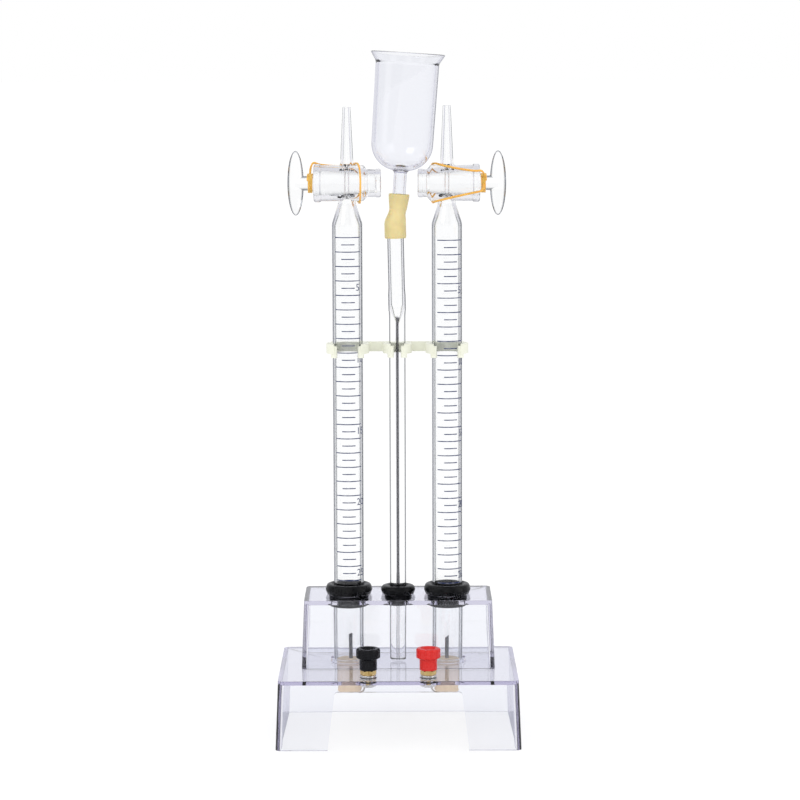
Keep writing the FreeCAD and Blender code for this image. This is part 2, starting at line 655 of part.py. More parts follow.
def build():
    nodes = {
        "lower_stand": lower_stand(),
        "tank_cover": tank_cover(),
        "centre_grommet": grommet(CENTRE_GROMMET, FILL_R, 0),
        "centre_tube": centre_tube(),
        "funnel": funnel(),
        "funnel_connector": funnel_connector(),
        "tube_clamp": tube_clamp(),
    }
    for name, side in SIDES.items():
        post = POST_NAMES[name]
        nodes[name + "_grommet"] = grommet(SIDE_GROMMET, GAS_R, side * TUBE_X)
        nodes[name + "_gas_tube"] = gas_tube(name)
        nodes[name + "_stopcock_key"] = stopcock_key(name)
        nodes[name + "_key_band"] = key_band(name)
        nodes[name + "_electrode"] = electrode(name)
        nodes[name + "_electrode_stopper"] = electrode_stopper(name)
        nodes[name + "_electrode_ferrule"] = electrode_ferrule(name)
        nodes[post + "_electrode_wire"] = electrode_wire(name)
        nodes[post + "_post_stud"] = post_stud(side)
        nodes[post + "_post_ring"] = post_ring(side)
        nodes[post + "_post_washer"] = post_washer(side)
        nodes[post + "_post_lug"] = post_lug(side)
        nodes[post + "_post_nut"] = post_nut(side)
        nodes[post + "_post_insert"] = post_insert(side)
        nodes[post + "_post_cap"] = post_cap(side)
    return nodes


def main():
    os.makedirs("parts", exist_ok=True)
    for name, shape in build().items():
        print(name, "solids", len(shape.Solids), "valid", shape.isValid(),
              "volume", round(shape.Volume, 1))
        shape.exportStep("parts/" + name + ".step")


main()
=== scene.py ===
"""Looks of a water electrolysis demonstration apparatus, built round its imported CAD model."""

import json
import math

import bmesh
import bpy
import numpy as np
from mathutils import Matrix, Vector

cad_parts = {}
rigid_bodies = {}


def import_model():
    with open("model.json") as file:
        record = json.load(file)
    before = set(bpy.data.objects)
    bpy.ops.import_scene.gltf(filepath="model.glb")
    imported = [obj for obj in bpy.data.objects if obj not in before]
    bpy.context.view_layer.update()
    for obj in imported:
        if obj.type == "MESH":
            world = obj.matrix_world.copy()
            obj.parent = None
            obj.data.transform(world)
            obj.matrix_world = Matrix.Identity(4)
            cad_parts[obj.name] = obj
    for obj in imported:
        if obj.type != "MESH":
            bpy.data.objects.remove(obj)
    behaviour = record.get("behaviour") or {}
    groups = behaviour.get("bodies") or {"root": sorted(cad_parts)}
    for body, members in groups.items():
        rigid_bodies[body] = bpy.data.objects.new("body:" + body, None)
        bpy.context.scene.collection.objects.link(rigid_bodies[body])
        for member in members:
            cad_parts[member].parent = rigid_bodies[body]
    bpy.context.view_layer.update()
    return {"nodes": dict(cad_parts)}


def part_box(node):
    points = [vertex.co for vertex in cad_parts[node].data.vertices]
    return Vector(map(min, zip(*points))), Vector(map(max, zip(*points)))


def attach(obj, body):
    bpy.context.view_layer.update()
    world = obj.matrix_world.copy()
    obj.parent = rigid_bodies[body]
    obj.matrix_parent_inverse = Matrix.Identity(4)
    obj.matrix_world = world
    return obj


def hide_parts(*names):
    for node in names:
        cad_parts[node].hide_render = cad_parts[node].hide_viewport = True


bl_info = {
    "name": "Electrolysis apparatus looks",
    "version": (1, 0, 0),
    "blender": (4, 5, 0),
    "location": "3D View > Sidebar > Apparatus",
    "description": "Glass, clear plastic, rubber and printed scales for a two-tube electrolysis apparatus",
    "category": "Object",
}

for leftover in list(bpy.data.objects):
    bpy.data.objects.remove(leftover)
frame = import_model()

MM = 0.001
SIDES = {"left": -1, "right": 1}
POSTS = ("black", "red")
ROOT = "apparatus"

# Places taken from the frame
TANK_LOW, TANK_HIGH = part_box("tank_cover")
TUBE_Y = (TANK_LOW.y + TANK_HIGH.y) / 2
TUBE_X = sum(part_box("right_grommet")[k].x for k in (0, 1)) / 2
COCK_Z = sum(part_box("right_stopcock_key")[k].z for k in (0, 1)) / 2

# Colours that more than one finish uses
CLEAR = (0.990, 0.993, 0.995)
WHITE = (1.0, 1.0, 1.0)
GLASS_SHADOW = (0.93, 0.94, 0.95)
PLASTIC_SHADOW = (0.90, 0.91, 0.95)
INSIDE_GLASS = (0.72, 0.72, 0.77)

# Printed scales
MARKS = 49
FIGURES = (5, 10, 15, 20, 25)
TUBE_SKIN = 7.71 * MM
FIGURE_ABOVE_MARK = 3.8 * MM
FIGURE_ASIDE = math.radians(30.0)
SCALE_TURN = {"left": math.radians(4.0), "right": math.radians(14.0)}

# Grommets: radii of the bore, of the neck in the tank's top and of the flange under it
TANK_WALL = 2.4 * MM
GROMMETS = {
    "left_grommet": (7.73 * MM, 9.2 * MM, 10.1 * MM),
    "right_grommet": (7.73 * MM, 9.2 * MM, 10.1 * MM),
    "centre_grommet": (4.18 * MM, 5.7 * MM, 6.9 * MM),
}

# Filling tube: the bore narrows to a thread between these heights, where the painted dark thread of shade
# along it fades in
BORE_TOP = 222 * MM
BORE_NARROW = 216 * MM

# Connector: rise and radius in mm, along its outside and along its inside
SLEEVE_OUTER = ((0, 5.25), (0.5, 5.45), (1.2, 5.5), (4, 5.45), (7, 5.5), (9, 5.35), (10.6, 4.95), (12, 4.5),
                (13.4, 4.32), (15, 4.42), (17, 4.72), (19, 5.0), (20.4, 5.15), (21.6, 5.28), (22.1, 5.25),
                (22.35, 5.1))
SLEEVE_INNER = ((0, 4.24), (9.6, 4.24), (10.4, 2.35), (15.2, 2.35), (16, 3.34), (23, 3.34))
SLEEVE_LENGTH = 22.35 * MM
SLEEVE_FOOT = 0.3 * MM

# The filling tube and the funnel each lean, and their axes pass through these points (x, z)
TUBE_LEAN = math.radians(-1.15)
TUBE_POINT = (0.0, 216 * MM)
FUNNEL_LEAN = math.radians(3.84)
FUNNEL_POINT = (5.9 * MM, 346 * MM)

# Rubber band round the key's neck
NECK_R = 4.0 * MM
COIL_TURNS = 3.2
COIL_X = (42.75 * MM, 44.95 * MM)
COIL_POINTS = 260

# Stage: the floor's radius and its drop below the stand, and the stripes that mirrors see
FLOOR_R = 60.0
FLOOR_DROP = 0.05 * MM
STRIPES = 5

# Lamps: name, place, width and power
LAMPS = (("key_lamp", (-0.9, -1.1, 1.3), 0.9, 5.0), ("fill_lamp", (1.2, -0.7, 0.8), 1.1, 2.5))
LAMP_TARGET = (0, 0, 0.16)


# User settings


def length(name, description, default):
    """A size property in metres, shown in the scene's own units."""
    return bpy.props.FloatProperty(name=name, description=description, default=default,
                                   min=0.0, precision=5, unit="LENGTH", subtype="DISTANCE")


def colour(name, description, default):
    """A colour property."""
    return bpy.props.FloatVectorProperty(name=name, description=description, default=default,
                                         size=3, min=0.0, max=1.0, subtype="COLOR")


class ScaleSettings(bpy.types.PropertyGroup):
    first_left: length("First mark, left", "Height of the 1 mL mark on the left tube", 253.6 * MM)
    first_right: length("First mark, right", "Height of the 1 mL mark on the right tube", 252.1 * MM)
    pitch: length("Millilitre", "Distance between whole millilitres", 7.307 * MM)
    line: length("Line weight", "Height of a printed line", 0.50 * MM)
    figure: length("Figure height", "Height of the printed figures", 3.8 * MM)
    film: length("Ink film", "Thickness of the printed ink", 0.03 * MM)
    ink: colour("Ink", "Colour of the printed scale", (0.008, 0.024, 0.12))


class RubberSettings(bpy.types.PropertyGroup):
    band: length("Band width", "Side of a rubber band's square section", 0.92 * MM)
    latex: colour("Latex", "Colour of the connector", (0.79, 0.66, 0.32))
    amber: colour("Bands", "Colour of the rubber bands", (0.95, 0.50, 0.09))
    black: colour("Grommets", "Colour of the grommets", (0.003, 0.0033, 0.004))


class StageSettings(bpy.types.PropertyGroup):
    lens: bpy.props.FloatProperty(name="Lens", description="Focal length of the camera, for a 36 mm sensor",
                                  default=125.0, min=10.0, unit="CAMERA")
    distance: length("Camera distance", "From the camera to the tubes, along the ground", 1406.6 * MM)
    height: length("Camera height", "Of the camera above the ground", 339.5 * MM)
    aside: length("Camera offset", "Of the camera to the right of the middle", 1.28 * MM)
    pitch: bpy.props.FloatProperty(name="Pitch", description="How far the camera looks down",
                                   default=math.radians(6.861), subtype="ANGLE", unit="ROTATION")
    roll: bpy.props.FloatProperty(name="Roll", description="How far the camera leans to the right",
                                  default=math.radians(0.18), subtype="ANGLE", unit="ROTATION")


# Shader maths


class Value:
    """A number socket; Python's operators on it add Math nodes."""

    def __init__(self, finish, socket):
        self.finish = finish
        self.socket = socket

    def math(self, operation, *others):
        sockets = {0: self}
        sockets.update({i + 1: other for i, other in enumerate(others)})
        return self.finish.node("ShaderNodeMath", {"operation": operation}, sockets)

    def reflected(self, operation, other):
        return self.finish.node("ShaderNodeMath", {"operation": operation}, {0: other, 1: self})

    def __add__(self, other):
        return self.math("ADD", other)

    def __sub__(self, other):
        return self.math("SUBTRACT", other)

    def __rsub__(self, other):
        return self.reflected("SUBTRACT", other)

    def __mul__(self, other):
        return self.math("MULTIPLY", other)

    def __gt__(self, other):
        return self.math("GREATER_THAN", other)


class Finish:
    """One procedural material, or the world, with its node tree."""

    def __init__(self, name, world=False):
        holder = bpy.data.worlds.new(name) if world else bpy.data.materials.new(name)
        holder.use_nodes = True
        holder.node_tree.nodes.clear()
        self.holder = holder
        self.tree = holder.node_tree
        kind = "ShaderNodeOutputWorld" if world else "ShaderNodeOutputMaterial"
        self.output = self.tree.nodes.new(kind)

    def node(self, kind, settings=None, sockets=None, out=0):
        """Adds a node of any type: its settings first, then the values or links of its sockets."""
        made = self.tree.nodes.new(kind)
        for key, value in (settings or {}).items():
            setattr(made, key, value)
        for key, value in (sockets or {}).items():
            if isinstance(value, Value):
                self.tree.links.new(value.socket, made.inputs[key])
            else:
                made.inputs[key].default_value = value
        return Value(self, made.outputs[out])

    def blend(self, factor, first, second):
        """Colour between first and second, through a Mix node."""
        sockets = {0: factor}
        for index, shade in ((6, first), (7, second)):
            sockets[index] = shade if isinstance(shade, Value) else (*shade, 1.0)
        return self.node("ShaderNodeMix", {"data_type": "RGBA"}, sockets, 2)

    def place(self, scale=(1.0, 1.0, 1.0)):
        """The point on the object, stretched for a pattern."""
        point = self.node("ShaderNodeTexCoord", out="Object")
        return self.node("ShaderNodeMapping", {}, {"Vector": point, "Scale": scale})

    def noise(self, scale, detail, where=None):
        return self.node("ShaderNodeTexNoise", {}, {
            "Vector": where or self.place(), "Scale": scale, "Detail": detail})

    def steps(self, source, low, high, bottom=0.0, top=1.0):
        """Smooth rise from bottom to top while source goes from low to high."""
        return self.node("ShaderNodeMapRange", {"interpolation_type": "SMOOTHSTEP"}, {
            "Value": source, "From Min": low, "From Max": high, "To Min": bottom, "To Max": top})

    def bump(self, height, strength, distance):
        return self.node("ShaderNodeBump", {}, {
            "Height": height, "Strength": strength, "Distance": distance})

    def principled(self, **sockets):
        """A Principled node: an underscore in a socket's name stands for a space."""
        named = {key.replace("_", " "): value for key, value in sockets.items()}
        return self.node("ShaderNodeBsdfPrincipled", {}, named)

    def skin(self):
        """0 where the surface faces the viewer, 1 where it is seen along its skin."""
        return self.node("ShaderNodeLayerWeight", {}, {"Blend": 0.5}, "Facing")

    def point_parts(self):
        """x, y and z of the point on the object."""
        split = self.node("ShaderNodeSeparateXYZ", {}, {0: self.node("ShaderNodeTexCoord", out="Object")})
        return [Value(self, socket) for socket in split.socket.node.outputs]

    def light_path(self, name):
        return self.node("ShaderNodeLightPath", out=name)

    def lets_light_through(self, shader, tint):
        """The shader as seen, and a tinted see-through one for the lamps' shadows."""
        clear = self.node("ShaderNodeBsdfTransparent", {}, {"Color": (*tint, 1.0)})
        shadow = self.light_path("Is Shadow Ray")
        return self.node("ShaderNodeMixShader", {}, {0: shadow, 1: shader, 2: clear})

    def done(self, surface, volume=None):
        self.tree.links.new(surface.socket, self.output.inputs["Surface"])
        if volume is not None:
            self.tree.links.new(volume.socket, self.output.inputs["Volume"])
        return self.holder


def clear_glass(name, inner, outer):
    """Hard clear glass with painted edge shade: tinted dark where it is seen along its skin, less so round
    the stopcocks.
    """
    f = Finish(name)
    skin = f.skin()
    # Painted shade: the glass is tinted dark grey where it is seen along its skin, which draws its edges
    # dark; round the stopcocks this painted shade is weakened to a fifth.
    painted_edge_shade = f.steps(skin, inner, outer) * f.steps(skin, 0.90, 0.74)
    side, deep, high = f.point_parts()
    cock = f.steps(high, COCK_Z - 18 * MM, COCK_Z - 12 * MM)
    cock = cock * f.steps(high, COCK_Z + 13 * MM, COCK_Z + 11 * MM)
    cock = cock * f.steps(side.math("ABSOLUTE"), 45.5 * MM, 44 * MM)
    tint = f.blend(painted_edge_shade * (1 - cock * 0.8), CLEAR, (0.085, 0.095, 0.105))
    streaks = f.noise(60.0, 2.0, f.place((1.0, 1.0, 0.03)))
    rough = f.steps(f.noise(90.0, 2.0), 0.35, 0.75, 0.0, 0.02)
    surface = f.principled(Base_Color=tint, Roughness=rough, IOR=1.47, Transmission_Weight=1.0,
                           Normal=f.bump(streaks, 0.25, 0.00003))
    return f.done(f.lets_light_through(surface, GLASS_SHADOW))


def clear_plastic(name, waves):
    """Clear moulded plastic, faintly lavender: deep paths through it, as along an edge, darken by
    absorption, and painted edge shade tints it darker lavender where it is seen along its skin.
    """
    f = Finish(name)
    # Painted shade: the surface is tinted darker lavender where it is seen along its skin; the volume
    # absorption below darkens deep paths for real.
    tint = f.blend(f.steps(f.skin(), 0.66, 0.97), (0.958, 0.965, 0.984), (0.42, 0.40, 0.62))
    flow = f.noise(14.0, 2.0, f.place((1.0, 1.0, 0.5)))
    scuffs = f.steps(f.noise(240.0, 4.0, f.place((1.0, 1.0, 6.0))), 0.62, 0.74, 0.015, 0.10)
    surface = f.principled(Base_Color=tint, Roughness=scuffs, IOR=1.55, Transmission_Weight=1.0,
                           Normal=f.bump(flow, waves, 0.0006))
    depth = f.node("ShaderNodeVolumeAbsorption", {}, {"Color": (0.30, 0.22, 0.62, 1.0), "Density": 8.0})
    return f.done(f.lets_light_through(surface, PLASTIC_SHADOW), depth)


def bore_glass():
    """The filling tube's glass with painted edge shade, and a painted dark thread of shade along its
    hair-thin bore, paler below the tank's top.
    """
    f = Finish("bore_glass_finish")
    skin = f.skin()
    # Painted shade: the glass is tinted dark where it is seen along its skin.
    painted_edge_shade = f.steps(skin, 0.38, 0.60) * f.steps(skin, 0.97, 0.82)
    tint = f.blend(painted_edge_shade, CLEAR, (0.030, 0.034, 0.040))
    side, deep, high = f.point_parts()
    deep = deep - TUBE_Y
    reach = side * side + deep * deep
    # Painted shade: surfaces within 1.5 mm of the axis, below the bore's narrowing, are tinted near black
    # so that the bore shows as a dark thread; below the tank's top this painted thread is weaker.
    bore = f.steps(reach, (1.5 * MM) ** 2, (1.2 * MM) ** 2) * f.steps(high, BORE_TOP, BORE_NARROW)
    bore = bore * f.steps(high, TANK_HIGH.z - 4 * MM, TANK_HIGH.z + 4 * MM, 0.35, 1.0)
    tint = f.blend(bore, tint, (0.10, 0.10, 0.11))
    surface = f.principled(Base_Color=tint, Roughness=0.01, IOR=1.47, Transmission_Weight=1.0)
    return f.done(f.lets_light_through(surface, GLASS_SHADOW))


def rubber(name, shade, bloom, rough, gloss):
    """Moulded rubber with a fine grain and a pale bloom in patches."""
    f = Finish(name)
    patches = f.steps(f.noise(70.0, 4.0), 0.40, 0.70)
    pale = tuple(c + bloom * (1 - c) for c in shade)
    tint = f.blend(patches, shade, pale)
    skin = f.noise(1400.0, 3.0)
    surface = f.principled(Base_Color=tint, Roughness=f.steps(skin, 0.3, 0.7, rough, rough + 0.12),
                           Normal=f.bump(skin, 0.20, 0.00008), Specular_IOR_Level=gloss)
    return f.done(surface)


def latex_rubber(name, shade, rough):
    """Thin natural rubber: warm light comes a little way through it."""
    f = Finish(name)
    mottle = f.steps(f.noise(160.0, 5.0), 0.35, 0.70)
    deep = tuple(c * 0.90 for c in shade)
    tint = f.blend(mottle, deep, shade)
    grain = f.noise(900.0, 4.0, f.place((1.0, 1.0, 0.35)))
    surface = f.principled(Base_Color=tint, Roughness=f.steps(grain, 0.3, 0.7, rough, rough + 0.15),
                           Subsurface_Weight=0.35, Subsurface_Radius=(1.0, 0.55, 0.2),
                           Subsurface_Scale=0.0015, Normal=f.bump(grain, 0.25, 0.00006))
    return f.done(surface)


def moulded(name, shade, rough, clouding, gloss):
    """Opaque moulded plastic with faint clouding and a slight orange-peel skin."""
    f = Finish(name)
    cloud = f.steps(f.noise(260.0, 4.0), 0.35, 0.70)
    pale = tuple(min(1.0, c + clouding * (1 - c)) for c in shade)
    tint = f.blend(cloud, shade, pale)
    peel = f.noise(900.0, 2.0)
    surface = f.principled(Base_Color=tint, Roughness=f.steps(peel, 0.3, 0.7, rough, rough + 0.08),
                           Normal=f.bump(peel, 0.12, 0.00005), Specular_IOR_Level=gloss)
    return f.done(surface)


def metal(name, shade, tarnish, rough, turned):
    """Turned metal: fine rings from the tool and a little tarnish."""
    f = Finish(name)
    stain = f.steps(f.noise(500.0, 4.0), 0.45, 0.72)
    tint = f.blend(stain, shade, tarnish)
    rings = f.node("ShaderNodeTexWave", {"wave_type": "BANDS", "bands_direction": "Z"}, {
        "Vector": f.place(), "Scale": turned, "Distortion": 0.6, "Detail": 2.0}, 1)
    surface = f.principled(Base_Color=tint, Metallic=1.0,
                           Roughness=f.steps(stain, 0.0, 1.0, rough, rough + 0.18),
                           Normal=f.bump(rings, 0.10, 0.00004))
    return f.done(surface)


def graphite():
    """Pressed carbon rod: grey-black, dull, with a worn grain along it."""
    f = Finish("graphite_finish")
    grain = f.noise(900.0, 5.0, f.place((1.0, 1.0, 0.25)))
    tint = f.blend(f.steps(grain, 0.40, 0.68), (0.045, 0.047, 0.055), (0.17, 0.175, 0.19))
    surface = f.principled(Base_Color=tint, Roughness=f.steps(grain, 0.3, 0.7, 0.35, 0.6), Metallic=0.2,
                           Normal=f.bump(grain, 0.5, 0.0001))
    return f.done(surface)


def ink(shade):
    """Printed ink, thinner in places."""
    f = Finish("scale_ink_finish")
    worn = f.steps(f.noise(420.0, 4.0), 0.42, 0.72)
    pale = tuple(c + 0.22 * (1 - c) for c in shade)
    surface = f.principled(Base_Color=f.blend(worn, shade, pale), Roughness=0.45)
    return f.done(surface)


# Surfaces


def new_piece(name, points, faces, material, smooth=True):
    """A mesh object from arrays of points and of faces, riding with the fixed parts."""
    mesh = bpy.data.meshes.new(name)
    mesh.from_pydata(points, [], faces)
    mesh.update()
    mesh.shade_smooth() if smooth else mesh.shade_flat()
    piece = bpy.data.objects.new(name, mesh)
    bpy.context.scene.collection.objects.link(piece)
    mesh.materials.append(material)
    mesh.set_sharp_from_angle(angle=math.radians(40))
    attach(piece, ROOT)
    return piece


def ring_faces(rows, columns):
    """Quads of a grid that is closed both ways: rows of points, each a ring of columns."""
    r, c = np.meshgrid(np.arange(rows), np.arange(columns), indexing="ij")
    below, beside = (r + 1) % rows, (c + 1) % columns
    quads = np.stack([r * columns + c, r * columns + beside, below * columns + beside,
                      below * columns + c], -1)
    return quads.reshape(-1, 4)


def rounded_profile(corners, steps=7):
    """Closed outline through (radius, height, fillet) corners: each fillet is an arc that is
    tangent to both sides, sampled at even angles between them."""
    data = np.array(corners, float)
    point, fillet = data[:, :2], data[:, 2]
    before = np.roll(point, 1, 0) - point
    after = np.roll(point, -1, 0) - point
    before /= np.linalg.norm(before, axis=1)[:, None]
    after /= np.linalg.norm(after, axis=1)[:, None]
    half = np.arccos(np.clip((before * after).sum(1), -1, 1)) / 2
    middle = before + after
    middle /= np.maximum(np.linalg.norm(middle, axis=1)[:, None], 1e-9)
    centre = point + middle * (fillet / np.sin(half))[:, None]
    reach = (fillet / np.tan(half))[:, None]
    start, stop = point + before * reach - centre, point + after * reach - centre
    share = np.linspace(0, 1, steps)[None, :, None]
    turn = (np.pi - 2 * half)[:, None, None]
    sine = np.maximum(np.sin(turn), 1e-9)
    arc = (np.sin((1 - share) * turn) * start[:, None] + np.sin(share * turn) * stop[:, None]) / sine
    outline = (centre[:, None] + arc).reshape(-1, 2)
    keep = np.linalg.norm(outline - np.roll(outline, 1, 0), axis=1) > 1e-7
    return outline[keep]


def turned(outline, columns=96):
    """Surface of revolution: each outline point (r, h) goes to (r cos a, r sin a, h) for even
    angles a round the axis. The outline is closed and runs anticlockwise seen with r to the
    right, so that the faces point outwards."""
    angle = np.linspace(0, 2 * np.pi, columns, endpoint=False)
    r, h = outline[:, :1], outline[:, 1:]
    points = np.stack([r * np.cos(angle), r * np.sin(angle), np.broadcast_to(h, (len(h), columns))], -1)
    return points.reshape(-1, 3), ring_faces(len(outline), columns)


def smooth_line(points, count):
    """Cardinal spline: between two neighbours the curve is the cubic whose end slopes are half
    the chord between the points on either side."""
    p = np.array(points, float)
    ends = np.vstack([2 * p[0] - p[1], p, 2 * p[-1] - p[-2]])
    t = np.linspace(0, 1, count, endpoint=False)[None, :, None]
    a, b, c, d = (q[:, None, :] for q in (ends[:-3], ends[1:-2], ends[2:-1], ends[3:]))
    curve = 0.5 * (2 * b + (c - a) * t + (2 * a - 5 * b + 4 * c - d) * t ** 2
                   + (3 * b - a - 3 * c + d) * t ** 3)
    return np.vstack([curve.reshape(-1, 3), p[-1:]])


def swept(path, section, out):
    """Carries a closed section along a path: its first axis follows the direction out made
    square to the path, its second axis is square to both. The two ends are capped."""
    tangent = np.gradient(path, axis=0)
    tangent /= np.linalg.norm(tangent, axis=1)[:, None]
    outward = out - (out * tangent).sum(1)[:, None] * tangent
    outward /= np.linalg.norm(outward, axis=1)[:, None]
    across = np.cross(tangent, outward)
    points = (path[:, None] + outward[:, None] * section[None, :, :1]
              + across[:, None] * section[None, :, 1:])
    rows, columns = points.shape[:2]
    r, c = np.meshgrid(np.arange(rows - 1), np.arange(columns), indexing="ij")
    beside = (c + 1) % columns
    quads = np.stack([r * columns + c, (r + 1) * columns + c, (r + 1) * columns + beside,
                      r * columns + beside], -1).reshape(-1, 4)
    last = (rows - 1) * columns
    faces = quads.tolist() + [list(range(columns)), list(range(last + columns - 1, last - 1, -1))]
    return points.reshape(-1, 3), faces


def rounded_square(side, count=24):
    """Square with soft corners: the point at angle a lies where |x|^5 + |y|^5 is constant."""
    a = np.linspace(0, 2 * np.pi, count, endpoint=False)
    reach = (np.abs(np.cos(a)) ** 5 + np.abs(np.sin(a)) ** 5) ** (-1 / 5)
    return np.stack([np.cos(a), np.sin(a)], 1) * (reach * side / 2)[:, None]


def right_way_out(piece):
    """Turns every face outwards on a closed mesh."""
    work = bmesh.new()
    work.from_mesh(piece.data)
    bmesh.ops.recalc_face_normals(work, faces=work.faces)
    work.to_mesh(piece.data)
    work.free()


def eased_copy(node, name, width, material):
    """The CAD node's own shape with its loose triangles merged and its hard edges eased."""
    source = frame["nodes"][node]
    mesh = bpy.data.meshes.new(name)
    work = bmesh.new()
    work.from_mesh(source.data)
    bmesh.ops.remove_doubles(work, verts=work.verts, dist=0.002 * MM)
    bmesh.ops.dissolve_limit(work, angle_limit=math.radians(0.6), verts=work.verts, edges=work.edges)
    bmesh.ops.recalc_face_normals(work, faces=work.faces)
    work.to_mesh(mesh)
    work.free()
    mesh.shade_smooth()
    mesh.set_sharp_from_angle(angle=math.radians(30))
    piece = bpy.data.objects.new(name, mesh)
    bpy.context.scene.collection.objects.link(piece)
    mesh.materials.clear()
    mesh.materials.append(material)
    bevel = piece.modifiers.new("eased_edges", "BEVEL")
    bevel.width = width
    bevel.segments = 3
    bevel.limit_method = "ANGLE"
    bevel.angle_limit = math.radians(40)
    bevel.harden_normals = True
    bevel.use_clamp_overlap = True
    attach(piece, ROOT)
    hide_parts(node)
    return piece


def dress(names, material):
    """Gives CAD nodes, left as they are, their finish."""
    for name in names:
        materials = frame["nodes"][name].data.materials
        materials.clear()
        materials.append(material)


# Operators, one for each group of pieces


class APPARATUS_OT_stand(bpy.types.Operator):
    """Clear stand and tank cover, with eased edges."""

    bl_idname = "apparatus.stand"
    bl_label = "Stand and tank"

    def execute(self, context):
        plastic = clear_plastic("clear_plastic_finish", 0.05)
        for node in ("lower_stand", "tank_cover"):
            piece = eased_copy(node, node + "_shell", 0.35 * MM, plastic)
        return {"FINISHED"}


class APPARATUS_OT_glass(bpy.types.Operator):
    """Gas tubes with their barrels, the stopcock keys and the filling tube."""

    bl_idname = "apparatus.glass"
    bl_label = "Glass"

    def execute(self, context):
        # Each glass finish carries painted edge shade; the two figures are the facing values over which it
        # sets in, wider on the keys.
        dress([side + "_gas_tube" for side in SIDES], clear_glass("clear_glass_finish", 0.44, 0.62))
        dress([side + "_stopcock_key" for side in SIDES], clear_glass("key_glass_finish", 0.14, 0.42))
        dress(["centre_tube"], bore_glass())
        return {"FINISHED"}


class APPARATUS_OT_funnel(bpy.types.Operator):
    """Clear plastic funnel."""

    bl_idname = "apparatus.funnel"
    bl_label = "Funnel"

    def execute(self, context):
        dress(["funnel"], clear_plastic("funnel_plastic_finish", 0.03))
        return {"FINISHED"}


class APPARATUS_OT_scales(bpy.types.Operator):
    """Printed millilitre scales on both gas tubes."""

    bl_idname = "apparatus.scales"
    bl_label = "Scales"

    def execute(self, context):
        settings = context.scene.apparatus_scale
        material = ink(tuple(settings.ink))
        for side, sign in SIDES.items():
            first = settings.first_left if side == "left" else settings.first_right
            piece = printed_scale(side, sign, first, SCALE_TURN[side], settings, material)
        return {"FINISHED"}


def printed_scale(side, sign, first, turn, settings, material):
    """Marks and figures as one thin film round the tube: a mark is an arc from angle a to
    angle b at one height, a figure's flat point (u, v) goes to the angle u over the radius."""
    steps = 22
    halves = np.arange(MARKS)
    whole = halves % 2 == 0
    height = first - halves * settings.pitch / 2
    reach = np.radians(np.where(whole, 54.0, 26.0))
    share = np.linspace(-1, 1, steps)
    angle = turn + reach[:, None] * share[None]
    section = np.array([(0, -0.5), (1, -0.5), (1, 0.5), (0, 0.5)])
    r = TUBE_SKIN + settings.film * section[:, 0]
    z = settings.line * section[:, 1]
    points = np.stack([
        sign * TUBE_X + r[None, None] * np.sin(angle)[..., None],
        TUBE_Y - r[None, None] * np.cos(angle)[..., None],
        np.broadcast_to(height[:, None, None] + z[None, None], (MARKS, steps, 4)),
    ], -1)
    m, s, c = np.meshgrid(np.arange(MARKS), np.arange(steps - 1), np.arange(4), indexing="ij")
    start = m * steps * 4
    quads = np.stack([start + s * 4 + c, start + (s + 1) * 4 + c, start + (s + 1) * 4 + (c + 1) % 4,
                      start + s * 4 + (c + 1) % 4], -1).reshape(-1, 4)
    first_caps = (np.arange(MARKS) * steps * 4)[:, None] + np.array([0, 1, 2, 3])
    last_caps = first_caps[:, ::-1] + (steps - 1) * 4
    faces = np.vstack([quads, first_caps, last_caps]).tolist()
    all_points = [points.reshape(-1, 3)]
    count = MARKS * steps * 4
    for number in FIGURES:
        flat, figure_faces = figure_mesh(str(number), settings.figure)
        at = first - (number - 1) * settings.pitch + FIGURE_ABOVE_MARK
        around = turn + FIGURE_ASIDE + flat[:, 0] / TUBE_SKIN
        depth = TUBE_SKIN + settings.film * flat[:, 2]
        all_points.append(np.stack([
            sign * TUBE_X + depth * np.sin(around), TUBE_Y - depth * np.cos(around), at + flat[:, 1]], -1))
        faces += [[i + count for i in face] for face in figure_faces]
        count += len(flat)
    piece = new_piece(side + "_scale", np.vstack(all_points), faces, material, smooth=False)
    right_way_out(piece)
    return piece


def figure_mesh(text, size):
    """Flat figures as a thin slab: points (u, v, 0 or 1) and faces."""
    curve = bpy.data.curves.new("figure", "FONT")
    curve.body = text
    curve.size = size * 1.35
    curve.extrude = 0.5
    curve.resolution_u = 3
    curve.align_y = "CENTER"
    holder = bpy.data.objects.new("figure", curve)
    mesh = bpy.data.meshes.new_from_object(holder)
    points = np.zeros(len(mesh.vertices) * 3)
    mesh.vertices.foreach_get("co", points)
    points = points.reshape(-1, 3)
    points[:, 2] = (points[:, 2] > 0).astype(float)
    faces = [list(polygon.vertices) for polygon in mesh.polygons]
    bpy.data.objects.remove(holder)
    bpy.data.curves.remove(curve)
    bpy.data.meshes.remove(mesh)
    return points, faces


